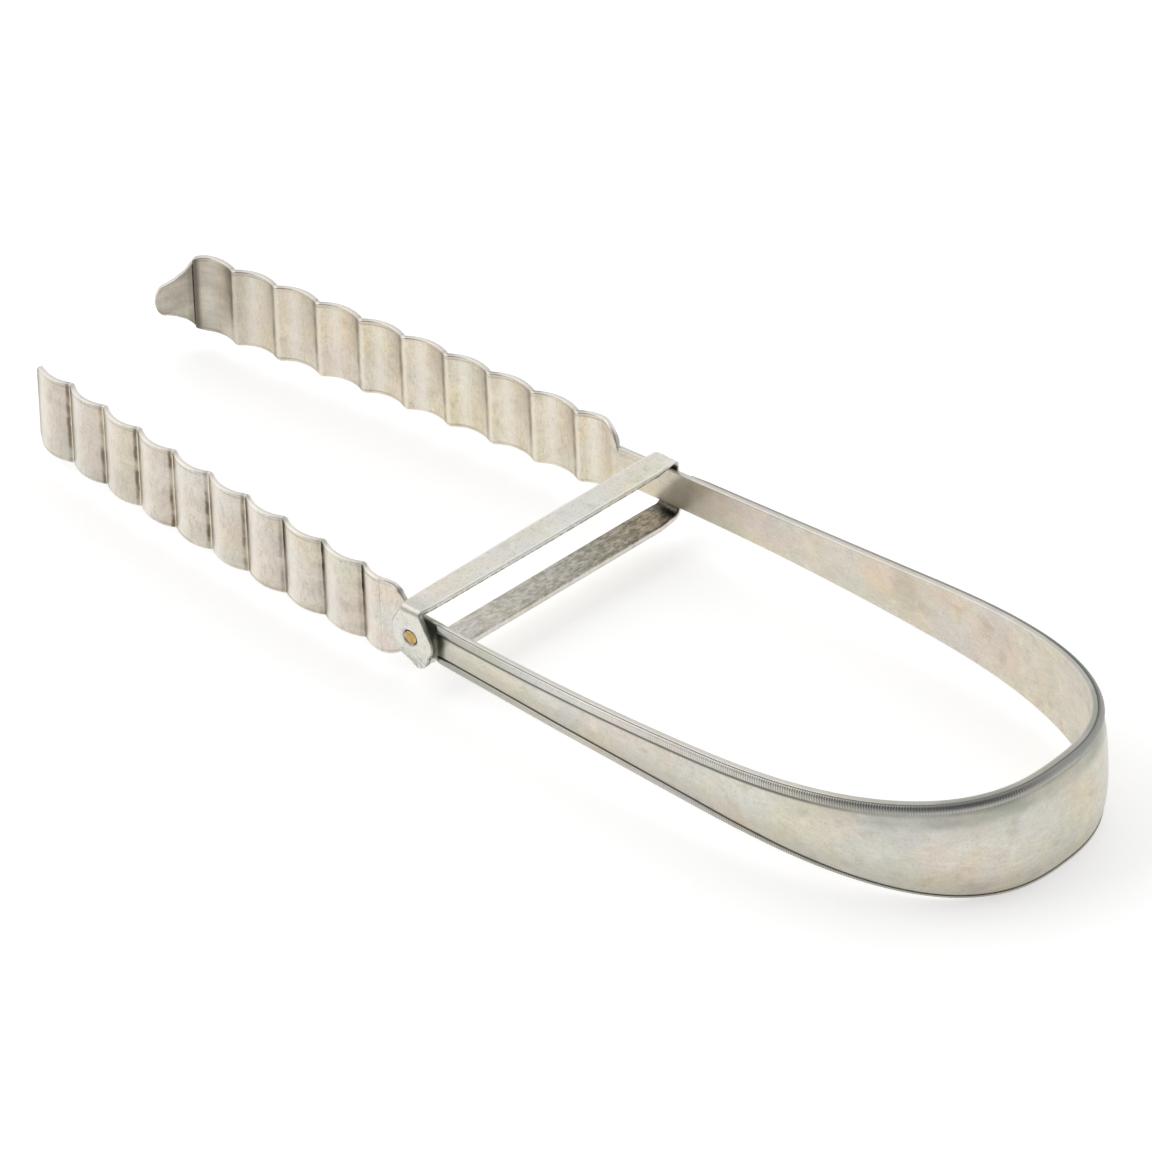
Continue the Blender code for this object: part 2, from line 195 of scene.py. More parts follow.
def strip_thickness(x):
    return ARM_THICKNESS + (BOW_THICKNESS - ARM_THICKNESS) * taper(x)


def crown_height(x):
    return BOW_CROWN * taper(x) ** CROWN_POWER


def crown_offset(x, z, height):
    """How far the strip's face bulges out, at a height z from its middle."""
    return crown_height(x) * (1 - abs(z / height) ** CROWN_FULLNESS)


def border_width(along, upper):
    """The lower border narrows round the bow, where the strip's face turns under."""
    if upper:
        return BORDER_WIDTH
    on_bow = np.clip((LOW_BORDER_CHANGE_END - along) / LOW_BORDER_CHANGE_LENGTH, 0.0, 1.0)
    return BORDER_WIDTH * (1 - (LOW_BORDER_NARROWING + LOW_BORDER_BOW_NARROWING * on_bow))


def border_rise(x):
    return ARM_BORDER_RISE + (BOW_BORDER_RISE - ARM_BORDER_RISE) * taper(x)


def arm_y(x):
    return BOW_HALF_WIDTH - ARM_INWARD_CURVE * (BOW_START_X - x) ** 2


def bow_point(angle):
    power = 2.0 / BOW_POWER
    return (
        BOW_START_X + BOW_LENGTH * max(math.cos(angle), 0.0) ** power,
        BOW_HALF_WIDTH * max(math.sin(angle), 0.0) ** power,
    )


def path_length(points):
    """How far along its line each point lies."""
    return np.concatenate([[0.0], np.cumsum(np.linalg.norm(np.diff(points, axis=0), axis=1))])


def evenly(points, step):
    """The same plan curve with its points at equal distances of about one step."""
    points = np.array(points)
    along = path_length(points)
    count = max(round(along[-1] / step), 1)
    target = np.linspace(0.0, along[-1], count + 1)
    return np.stack([np.interp(target, along, points[:, k]) for k in range(2)], axis=1)


def strip_line(end_x, step):
    """The plan curve of one half of the strip, from the bow's end round to an arm's point at end_x."""
    bow = [bow_point(math.pi / 2 * (k / 4000) ** 1.5) for k in range(4001)]
    arm = [(x, arm_y(x)) for x in np.linspace(BOW_START_X, end_x, 400)[1:]]
    return evenly(bow + arm, step)


def blade_line(x):
    back = BLADE_ROOT_X - x
    return BLADE_ROOT_Y - BLADE_TOE_SLOPE * back - BLADE_TOE_CURVE * back * back


def near_shoulder(x):
    """The near blade's shoulders run on behind the ear."""
    return table(NEAR_SHOULDER, x)


def blade_half_height(x, name):
    """The blade's half-height along its flutes, rounded at the shoulder and at the corner by the claw."""
    tip_x = BLADE_ROOT_X - sum(FLUTE_PITCHES)
    share = (BLADE_ROOT_X - x) / (BLADE_ROOT_X - tip_x)
    root, tip = BLADE_HALF_HEIGHTS[name]
    full = root + (tip - root) * share
    from_root = max(BLADE_ROOT_X - x, 0.0)
    from_tip = max(x - tip_x, 0.0)
    if name == "near" and x > NEAR_SHOULDER[0][0]:
        return min(full, near_shoulder(x))
    if from_root < SHOULDER_LENGTH:
        rise = math.sqrt(max(1 - (1 - from_root / SHOULDER_LENGTH) ** 2, 0.0)) ** 0.7
        return ARM_HALF_HEIGHT + (full - ARM_HALF_HEIGHT) * rise
    if from_tip < CORNER_LENGTH:
        rise = math.sqrt(max(1 - (1 - from_tip / CORNER_LENGTH) ** 2, 0.0))
        return CORNER_HALF_HEIGHT + (full - CORNER_HALF_HEIGHT) * rise
    return full


def claw_half_height(share):
    if share > CLAW_TIP_START:
        rounding = (share - CLAW_TIP_START) / (1 - CLAW_TIP_START)
        height = CLAW_HALF_HEIGHTS[-1][1] * math.sqrt(max(1 - rounding * rounding, 0.0))
        return max(height, CLAW_END_HALF_HEIGHT)
    return table(CLAW_HALF_HEIGHTS, share)


def flute_curve(pitch):
    """(along, out) points of one flute: half a valley arc, the crest arc, half a valley arc."""
    reach = (pitch * pitch / 4 + FLUTE_DEPTH * FLUTE_DEPTH) / (2 * FLUTE_DEPTH)
    crest = reach - VALLEY_RADIUS
    turn = math.asin(pitch / 2 / reach)
    valley = [
        (VALLEY_RADIUS * math.sin(angle), VALLEY_RADIUS * (1 - math.cos(angle)))
        for angle in (turn * k / 4 for k in range(4))
    ]
    points = list(valley)
    for k in range(FLUTE_STEPS + 1):
        angle = turn * (1 - 2 * k / FLUTE_STEPS)
        points.append((pitch / 2 - crest * math.sin(angle), FLUTE_DEPTH - crest + crest * math.cos(angle)))
    return points + [(pitch - along, out) for along, out in reversed(valley)]


def arm_drop(name, x):
    """The near arm is a little deeper than the far one, at its lower edge beside the guide."""
    if name == "far":
        return 0.0
    return ARM_DROP * table(ARM_DROP_SHARES, x)


def half_stations(name):
    """Rows of x, y, half-height, thickness, crown, drop and flutes passed, from bow to claw."""
    rows = []
    for x, y in strip_line(BLADE_ROOT_X + STRIP_END_GAP, STRIP_STEP):
        drop = arm_drop(name, x)
        height = strip_half_height(x) + drop
        if name == "near":
            height = max(height, near_shoulder(x))
        rows.append((x, y, height, strip_thickness(x), crown_height(x), drop, 0.0))
    root_x = BLADE_ROOT_X
    for number, pitch in enumerate(FLUTE_PITCHES):
        for along, out in flute_curve(pitch):
            if number == 0 and along < pitch / 2:
                # The first flute rises out of the arm with no crease.
                out = FLUTE_DEPTH * (1 - math.cos(2 * math.pi * along / pitch)) / 2
            x = root_x - along
            slope = BLADE_TOE_SLOPE + 2 * BLADE_TOE_CURVE * (BLADE_ROOT_X - x)
            place = (x - out * slope, blade_line(x) + out)
            if math.dist(rows[-1][:2], place) < LEAST_STEP:
                continue
            height = blade_half_height(x, name)
            rows.append((*place, height, BLADE_THICKNESS, 0.0, 0.0, number + along / pitch))
        root_x -= pitch
    corner_x, corner_y = rows[-1][:2]
    for k in range(1, CLAW_STEPS + 1):
        share = math.sin(math.pi / 2 * k / CLAW_STEPS)
        reach = CLAW_LENGTH * share
        x = corner_x - math.cos(CLAW_ANGLE) * reach
        y = corner_y - math.sin(CLAW_ANGLE) * reach
        # Under a half, so that the claw counts as past the last crease and not toward another.
        flute = len(FLUTE_PITCHES) + min(reach / FLUTE_PITCHES[-1], 0.49)
        rows.append((x, y, claw_half_height(share), BLADE_THICKNESS, 0.0, CLAW_DROP * share, flute))
    return np.array(rows)


# ---------------------------------------------------------------- meshes


def outward(points):
    """Outward unit normals of a plan curve that runs from the bow to the claw on the side of positive y."""
    along = np.gradient(points, axis=0)
    along /= np.linalg.norm(along, axis=1)[:, None]
    return np.stack([along[:, 1], -along[:, 0]], axis=1)


def rounded_outline(rows=16, arc=4):
    """(across, corner, up) of a rounded upright section.

    across and up run from -1 to 1, and corner is the angle turned into the rounded edge.
    """
    outline = []
    for k in range(rows + 1):
        outline.append((1.0, 0.0, 1 - 2 * k / rows))
    for k in range(1, arc + 1):
        outline.append((1.0, math.pi / 2 * k / arc, -1.0))
    for k in range(arc - 1, -1, -1):
        outline.append((-1.0, math.pi / 2 * k / arc, -1.0))
    for k in range(1, rows + 1):
        outline.append((-1.0, 0.0, 2 * k / rows - 1))
    for k in range(1, arc + 1):
        outline.append((-1.0, math.pi / 2 * k / arc, 1.0))
    for k in range(arc - 1, 0, -1):
        outline.append((1.0, math.pi / 2 * k / arc, 1.0))
    return np.array(outline)


def ring_faces(rings, count, closed_start=True):
    """Faces of a tube of rings, with a cap on its end and, unless it is left open, on its start."""
    faces = []
    for ring in range(rings - 1):
        low = ring * count
        for k in range(count):
            after = (k + 1) % count
            faces.append((low + k, low + after, low + count + after, low + count + k))
    last = (rings - 1) * count
    faces.append(tuple(range(last, last + count)))
    if closed_start:
        faces.append(tuple(range(count - 1, -1, -1)))
    return faces


def make_piece(name, points, faces, material, attributes):
    """A smooth mesh object from points in millimetres, with its material's attributes."""
    mesh = bpy.data.meshes.new(name)
    mesh.from_pydata((points * MM).tolist(), [], faces)
    mesh.polygons.foreach_set("use_smooth", [True] * len(mesh.polygons))
    rest = mesh.attributes.new("rest", "FLOAT_VECTOR", "POINT")
    rest.data.foreach_set("vector", points.astype(np.float32).ravel())
    for key, values in attributes.items():
        kept = mesh.attributes.new(key, "FLOAT", "POINT")
        kept.data.foreach_set("value", np.asarray(values, np.float32).ravel())
    mesh.materials.append(material)
    obj = bpy.data.objects.new(name, mesh)
    bpy.context.scene.collection.objects.link(obj)
    mesh.update()
    sides = (points - points.mean(axis=0))[np.array([face for face in faces if len(face) == 4])]
    a, b, c, d = (sides[:, k] for k in range(4))
    if np.einsum("ij,ij", a, np.cross(b, c) + np.cross(c, d)) < 0:
        mesh.flip_normals()
    return obj


def sheet_piece(name, material):
    """One half of the tongs' sheet: the bow, the arm, the fluted blade and the claw in one piece."""
    side = SIDES[name]
    rows = half_stations(name)
    line = rows[:, :2] * np.array([1.0, side])
    normal = outward(rows[:, :2]) * np.array([1.0, side])
    along = path_length(line)
    outline = rounded_outline()
    across, corner, up = outline.T
    height, thick, crown, drop, flute = rows[:, 2:].T
    radius = np.minimum(RIM_ROUNDING * thick, 0.35 * height)
    reach = height - radius
    z = reach[:, None] * up + radius[:, None] * np.sin(corner) * np.sign(up)
    off = across * (thick[:, None] / 2 - radius[:, None] * (1 - np.cos(corner)))
    off += crown[:, None] * (1 - np.abs(z / height[:, None]) ** CROWN_FULLNESS)
    points = np.empty((*z.shape, 3))
    points[..., 0] = line[:, 0, None] + normal[:, 0, None] * off
    points[..., 1] = line[:, 1, None] + normal[:, 1, None] * off
    points[..., 2] = MID_Z + z - drop[:, None]
    # The two ends of the bow meet at the middle of the tongs.
    points[0, :, 1] = 0.0
    rim = height[:, None] - np.abs(z)
    shape = z.shape
    # 1 along the strip, falling to 0 where the borders start, and to -1 along the blade.
    start, root = -BORDER_START_X[name], -BLADE_ROOT_X
    part = np.interp(-rows[:, 0], (start - 0.6, start, root, root + 0.4), (1, 0, 0, -1))
    attributes = {
        "rim": rim,
        "face": np.broadcast_to(across * np.cos(corner), shape),
        "flute": np.broadcast_to(flute[:, None], shape),
        "along": np.broadcast_to(along[:, None], shape),
        "part": np.broadcast_to(part[:, None], shape),
        "from_root": np.broadcast_to((BLADE_ROOT_X - rows[:, 0])[:, None], shape),
        "up": z,
    }
    faces = ring_faces(shape[0], shape[1], closed_start=False)
    return make_piece(name + "_sheet", points.reshape(-1, 3), faces, material, attributes)


def border_piece(name, upper, material):
    """A milled wire along one edge of the strip's outer face, worn smooth toward the guide."""
    side = SIDES[name]
    line = strip_line(BORDER_START_X[name], RIB_PITCH / 6)
    normal = outward(line) * np.array([1.0, side])
    along = path_length(line)
    from_guide = along[-1] - along
    strength = np.clip((RIB_END - along) / RIB_FADE_LENGTH, 0.0, 1.0)
    strength = strength * np.clip(RIB_BOW_STRENGTH + along / RIB_BOW_LENGTH, 0.0, 1.0)
    rib = 0.5 - 0.5 * np.cos(2 * math.pi * along / RIB_PITCH)
    count = BORDER_POINTS
    angles = np.linspace(0.0, math.pi, count)
    # How far round the wire a point is, from the strip's edge to the panel; the lower wire is all in shade.
    turn = np.linspace(0.0, 1.0, count) if upper else np.full(count, -1.0)
    rows = []
    kept = []
    for k, (x, y) in enumerate(line):
        drop = arm_drop(name, x)
        height = strip_half_height(x) + drop
        ease = min(from_guide[k] / BORDER_FADE[name], 1.0) ** 0.7
        body = np.sin(angles) ** 0.55
        width = border_width(along[k], upper)
        cut = strength[k] * rib[k]
        share = BORDER_LEAST_RISE + (1 - BORDER_LEAST_RISE) * ease
        rise = border_rise(x) * share * width / BORDER_WIDTH - RIB_DEPTH * cut
        z = height - width / 2 + width / 2 * np.cos(angles)
        off = strip_thickness(x) / 2 + crown_offset(x, z, height) + rise * body - BORDER_SINK
        z = z * (1 if upper else -1)
        rows.append(
            np.stack([x + normal[k, 0] * off, y * side + normal[k, 1] * off, MID_Z - drop + z], axis=1)
        )
        kept.append(np.stack([body, np.full(count, cut), np.full(count, along[k]), turn], axis=1))
    points = np.array(rows)
    points[0, :, 1] = 0.0
    body, ribs, distance, turns = np.moveaxis(np.array(kept), 2, 0)
    start = np.broadcast_to(from_guide[:, None], body.shape)
    attributes = {"body": body, "rib": ribs, "along": distance, "turn": turns, "from_guide": start}
    label = f"{name}_{'upper' if upper else 'lower'}_wire"
    faces = ring_faces(len(rows), count, closed_start=False)
    return make_piece(label, points.reshape(-1, 3), faces, material, attributes)


def guide_stations():
    """Rows of y, z, outward y, outward z, left x, right x and half-thickness.

    They run from the ear's foot over the top bar and back along the low bar.
    """
    top = GUIDE_TOP_Z - GUIDE_THICKNESS / 2
    low = GUIDE_LOW_Z
    near = GUIDE_NEAR_Y + GUIDE_THICKNESS / 2
    far = GUIDE_FAR_Y - GUIDE_THICKNESS / 2
    left_z, left_x = zip(*reversed(EAR_LEFT))
    right_z, right_x = zip(*reversed(EAR_RIGHT))
    stations = []

    def bar(y, z, out, ease=1.0, low_share=0.0):
        centre = GUIDE_NEAR_X + GUIDE_SKEW * (y - GUIDE_NEAR_Y)
        width = GUIDE_WIDTH * table(TOP_BAR_WIDTHS, y - near)
        worn = np.interp(y, (WORN_START_Y, far), (0.0, 1.0))
        width += (GUIDE_WIDTH + LOW_BAR_EXTRA_WIDTH - width) * low_share
        left, right = centre - width / 2, centre + width / 2 - WORN_NARROWING * worn
        foot = low_share * np.interp(y - near, FOOT_TAPER, (1.0, 0.0))
        left, right = left + (FOOT_LEFT - left) * foot, right + (FOOT_RIGHT - right) * foot
        left += (smooth_at(left_z, left_x, min(z, EAR_TOP_Z)) - left) * (1 - ease)
        right += (smooth_at(right_z, right_x, min(z, EAR_TOP_Z)) - right) * (1 - ease)
        thicker = LOW_BAR_EXTRA_HALF_THICKNESS * (low_share - foot)
        half = GUIDE_THICKNESS / 2 + thicker - WORN_HALF_THINNING * worn
        stations.append((y, z, *out, left, right, half))

    def bend(y, z, radius, start, end, steps, *shares):
        for k in range(steps + 1):
            angle = math.radians(start + (end - start) * k / steps)
            out = (math.cos(angle), math.sin(angle))
            ease, low_share = (share[0] + (share[1] - share[0]) * k / steps for share in shares)
            bar(y + radius * out[0], z + radius * out[1], out, ease, low_share)

    fold = top - GUIDE_NEAR_FOLD
    for k in range(EAR_STEPS):
        share = (1 - math.cos(math.pi / 2 * k / EAR_STEPS)) ** 0.9
        z = left_z[0] + (fold - left_z[0]) * share
        bar(near, z, (-1.0, 0.0), ease=0.0)
    bend(near + GUIDE_NEAR_FOLD, fold, GUIDE_NEAR_FOLD, 180, 90, 10, (0, 1), (0, 0))
    for y in np.linspace(near + GUIDE_NEAR_FOLD, far - GUIDE_TOP_BEND, BAR_STEPS)[1:-1]:
        bar(y, top, (0.0, 1.0))
    bend(far - GUIDE_TOP_BEND, top - GUIDE_TOP_BEND, GUIDE_TOP_BEND, 90, 0, 10, (1, 1), (0, 0))
    bend(far - GUIDE_LOW_BEND, low + GUIDE_LOW_BEND, GUIDE_LOW_BEND, 0, -90, 12, (1, 1), (0, 1))
    low_end = GUIDE_NEAR_Y + GUIDE_THICKNESS + LOW_BAR_GAP
    for y in np.linspace(far - GUIDE_LOW_BEND, low_end, BAR_STEPS)[1:]:
        bar(y, low, (0.0, -1.0), low_share=1.0)
    return np.array(stations)


def smooth_at(places, values, place):
    """A value eased between its neighbours with Catmull-Rom pieces."""
    k = int(np.clip(np.searchsorted(places, place) - 1, 0, len(places) - 2))
    t = (place - places[k]) / (places[k + 1] - places[k])
    a, b, c, d = (values[min(max(k + i, 0), len(values) - 1)] for i in (-1, 0, 1, 2))
    return b + 0.5 * t * (c - a + t * (2 * a - 5 * b + 4 * c - d + t * (3 * (b - c) + d - a)))


def guide_piece(material):
    """The ear, the top bar, the far bend and the low bar as one bent strap with softened edges."""
    rows = guide_stations()
    outline = rounded_outline(rows=12, arc=3)
    across, corner, up = outline.T
    y, z, out_y, out_z, left, right, flat = rows.T
    middle, half = (left + right) / 2, (right - left) / 2
    radius = np.minimum(GUIDE_ROUNDING, 0.45 * half)
    x = middle[:, None] + (half - radius)[:, None] * up + radius[:, None] * np.sin(corner) * np.sign(up)
    off = across * (flat[:, None] - radius[:, None] * (1 - np.cos(corner)))
    deep = y[:, None] + out_y[:, None] * off
    high = MID_Z + z[:, None] + out_z[:, None] * off
    points = np.stack([x, deep, high], axis=2)
    shape = x.shape
    along = path_length(rows[:, :2])
    attributes = {
        "rim": half[:, None] - np.abs(x - middle[:, None]),
        "face": np.broadcast_to(across * np.cos(corner), shape),
        "along": np.broadcast_to(along[:, None], shape),
        "turned": np.broadcast_to(out_z[:, None], shape),
        "wide": x - middle[:, None],
    }
    faces = ring_faces(shape[0], shape[1])
    guide = make_piece("guide_strap", points.reshape(-1, 3), faces, material, attributes)
    recess = turned_piece(
        "guide_recess",
        ((GUIDE_NEAR_Y - 1.0, RIVET_RECESS_RADIUS), (GUIDE_NEAR_Y + 0.35, RIVET_RECESS_RADIUS * 0.93)),
        None,
    )
    modifier = guide.modifiers.new("Recess", "BOOLEAN")
    modifier.operation = "DIFFERENCE"
    modifier.solver = "EXACT"
    modifier.object = recess
    graph = bpy.context.evaluated_depsgraph_get()
    cut = bpy.data.meshes.new_from_object(guide.evaluated_get(graph))
    guide.modifiers.clear()
    guide.data = cut
    bpy.data.objects.remove(recess)
    return guide


def turned_piece(name, steps, material, sides=64):
    """A turned body about the Y axis through the rivet, from (y, radius) steps."""
    ring = np.linspace(0.0, 2 * math.pi, sides, endpoint=False)
    rows = [
        np.stack([RIVET_X + r * np.cos(ring), np.full(sides, y), MID_Z + r * np.sin(ring)], axis=1)
        for y, r in steps
    ]
    points = np.array(rows)
    radius = np.repeat([r for _, r in steps], sides)
    faces = ring_faces(len(rows), sides)
    if material is None:
        material = bpy.data.materials.new("Cutter")
    return make_piece(name, points.reshape(-1, 3), faces, material, {"radius": radius})


def rivet_piece(material):
    """The rivet: a low domed head in the ear's recess, its shank, and the head inside the near arm."""
    dome = [
        (GUIDE_NEAR_Y + 0.22 - 0.3 * math.cos(a), DOME_RADIUS * math.sin(a) + 0.02)
        for a in np.linspace(0.0, 1.45, 9)
    ]
    inner = ARM_INNER_Y + 0.2
    tail = [(inner + deep, radius) for deep, radius in INNER_HEAD]
    steps = [*dome, (GUIDE_NEAR_Y + 0.5, 1.54), (inner, RIVET_RADIUS), *tail]
    return turned_piece("guide_rivet_head", steps, material)


# ---------------------------------------------------------------- materials


class Shading:
    """Short names for the nodes that the metals share."""

    def __init__(self, name):
        self.material = bpy.data.materials.new(name)
        self.material.use_nodes = True
        self.nodes = self.material.node_tree.nodes
        self.links = self.material.node_tree.links
        self.shader = self.nodes["Principled BSDF"]

    def put(self, value, socket):
        if isinstance(value, bpy.types.NodeSocket):
            self.links.new(value, socket)
        elif isinstance(value, tuple) and len(value) == 3 and len(socket.default_value) == 4:
            socket.default_value = (*value, 1.0)
        else:
            socket.default_value = value

    def attribute(self, name, vector=False):
        node = self.nodes.new("ShaderNodeAttribute")
        node.attribute_name = name
        return node.outputs["Vector" if vector else "Fac"]

    def math(self, operation, *values, clamp=False):
        node = self.nodes.new("ShaderNodeMath")
        node.operation = operation
        node.use_clamp = clamp
        for k, value in enumerate(values):
            self.put(value, node.inputs[k])
        return node.outputs[0]

    def smooth(self, value, low, high):
        """0 where the value is at low, 1 where it is at high, eased between."""
        node = self.nodes.new("ShaderNodeMapRange")
        node.interpolation_type = "SMOOTHSTEP"
        self.put(value, node.inputs["Value"])
        self.put(low, node.inputs["From Min"])
        self.put(high, node.inputs["From Max"])
        return node.outputs["Result"]

    def band(self, value, centre, width):
        """1 where the value is at the centre, 0 a width away from it."""
        gap = self.math("ABSOLUTE", self.math("SUBTRACT", value, centre))
        return self.smooth(gap, width, 0.0)

    def vector(self, x, y, z):
        node = self.nodes.new("ShaderNodeCombineXYZ")
        for k, value in enumerate((x, y, z)):
            self.put(value, node.inputs[k])
        return node.outputs[0]

    def scaled(self, vector, factors):
        node = self.nodes.new("ShaderNodeVectorMath")
        node.operation = "MULTIPLY"
        self.put(vector, node.inputs[0])
        node.inputs[1].default_value = factors
        return node.outputs[0]

    def noise(self, vector, scale, detail=3.0, roughness=0.5, distortion=0.0):
        node = self.nodes.new("ShaderNodeTexNoise")
        self.put(vector, node.inputs["Vector"])
        node.inputs["Scale"].default_value = scale
        node.inputs["Detail"].default_value = detail
        node.inputs["Roughness"].default_value = roughness
        node.inputs["Distortion"].default_value = distortion
        return node.outputs["Fac"]

    def mix(self, share, first, second, kind="MIX"):
        node = self.nodes.new("ShaderNodeMix")
        node.data_type = "RGBA"
        node.blend_type = kind
        self.put(share, node.inputs["Factor"])
        self.put(first, node.inputs[6])
        self.put(second, node.inputs[7])
        return node.outputs[2]

    def bump(self, height, distance, strength=1.0, normal=None):
        node = self.nodes.new("ShaderNodeBump")
        node.inputs["Distance"].default_value = distance * MM
        node.inputs["Strength"].default_value = strength
        self.put(height, node.inputs["Height"])
        if normal is not None:
            self.put(normal, node.inputs["Normal"])
        return node.outputs[0]

    def finish(self, colour, roughness, normal, metallic=1.0):
        self.shader.inputs["Metallic"].default_value = metallic
        self.put(colour, self.shader.inputs["Base Color"])
        self.put(roughness, self.shader.inputs["Roughness"])
        if normal is not None:
            self.put(normal, self.shader.inputs["Normal"])
        return self.material


def patina(s, colour, rest, amount=1.0):
    """Cloudy yellow, pink, lilac and green tints over a silver colour, lighter and darker in patches."""
    clouds = (
        (0.07, (0.0, 0.0, 0.0), (1.04, 1.0, 0.89), 0.42, 0.68),
        (0.09, (31.0, 7.0, 2.0), (1.03, 0.96, 0.94), 0.44, 0.68),
        (0.11, (3.0, 51.0, 9.0), (0.94, 0.955, 1.0), 0.45, 0.70),
        (0.10, (11.0, 5.0, 77.0), (0.93, 0.965, 0.92), 0.45, 0.70),
        (0.24, (21.0, 15.0, 7.0), (0.82, 0.80, 0.76), 0.52, 0.78),
        (0.28, (61.0, 5.0, 17.0), (1.10, 1.10, 1.09), 0.50, 0.74),
    )
    for scale, shift, tint, low, high in clouds:
        node = s.nodes.new("ShaderNodeVectorMath")
        node.operation = "ADD"
        s.put(rest, node.inputs[0])
        node.inputs[1].default_value = shift
        cloud = s.smooth(s.noise(node.outputs[0], scale, 5.0, 0.55, 0.2), low, high)
        colour = s.mix(s.math("MULTIPLY", cloud, amount), colour, s.mix(1.0, colour, tint, "MULTIPLY"))
    return colour


def mixed_values(s, share, first, second):
    """A plain number blended from one to the other."""
    node = s.nodes.new("ShaderNodeMix")
    s.put(share, node.inputs["Factor"])
    s.put(first, node.inputs[2])
    s.put(second, node.inputs[3])
    return node.outputs[0]


def sheet_places(s):
    """The sheet's attributes and the masks made from them, under the names that the passes below share."""
    at = SimpleNamespace(rest=s.attribute("rest", vector=True))
    for name in ("rim", "part", "along", "up", "from_root"):
        setattr(at, name, s.attribute(name))
    at.outer = s.smooth(s.attribute("face"), -0.2, 0.2)
    at.inner = s.math("SUBTRACT", 1.0, at.outer)
    at.blade = s.smooth(at.part, -0.2, -0.8)
    at.strip = s.math("MULTIPLY", at.outer, s.smooth(at.part, 0.2, 0.8))
    # How far past the nearest crease, toward the bow; the first flute rises out of the arm with none.
    flute = s.attribute("flute")
    valley = s.math("MULTIPLY", s.math("SUBTRACT", s.math("ROUND", flute), flute), MEAN_PITCH)
    no_crease = s.math("MULTIPLY", s.smooth(at.from_root, 4.5, 3.5), FAR_FROM_CREASE)
    at.valley = s.math("ADD", valley, no_crease)
    cells = s.vector(s.math("MULTIPLY", at.along, 0.35), at.up, at.outer)
    at.patchy = s.smooth(s.noise(cells, 0.25, 4.0), 0.32, 0.66)
    return at


def silver_ground(s, at):
    """Worn silver with specks, pits, and streaks up and down the blades and along the arms."""
    plain = s.mix(at.outer, (0.69, 0.645, 0.565), (0.68, 0.66, 0.60))
    fluted = s.mix(at.outer, (0.76, 0.69, 0.575), (0.76, 0.715, 0.645))
    colour = patina(s, s.mix(at.blade, plain, fluted), at.rest)
    tall = s.math("MULTIPLY", at.up, 0.30)
    on_blade = s.noise(s.vector(at.along, tall, at.outer), 1.6, 6.0, 0.75)
    flat = s.math("MULTIPLY", at.along, 0.35)
    on_arm = s.noise(s.vector(flat, at.up, at.outer), 1.2, 5.0, 0.7)
    streak = mixed_values(s, at.blade, on_arm, on_blade)
    amount = s.math("ADD", 0.18, s.math("MULTIPLY", at.blade, 0.32))
    dark = s.math("MULTIPLY", s.smooth(streak, 0.46, 0.72), amount)
    colour = s.mix(dark, colour, (0.40, 0.36, 0.30))
    light = s.math("MULTIPLY", s.smooth(streak, 0.48, 0.30), 0.35)
    colour = s.mix(light, colour, (0.84, 0.81, 0.75))
    grain = s.smooth(s.noise(at.rest, 2.4, 3.0, 0.7), 0.50, 0.72)
    colour = s.mix(s.math("MULTIPLY", grain, 0.42), colour, (0.36, 0.33, 0.27))
    pits = s.smooth(s.noise(at.rest, 1.1, 4.0, 0.65), 0.66, 0.74)
    colour = s.mix(s.math("MULTIPLY", pits, 0.45), colour, (0.28, 0.25, 0.19))
    return colour, streak, pits


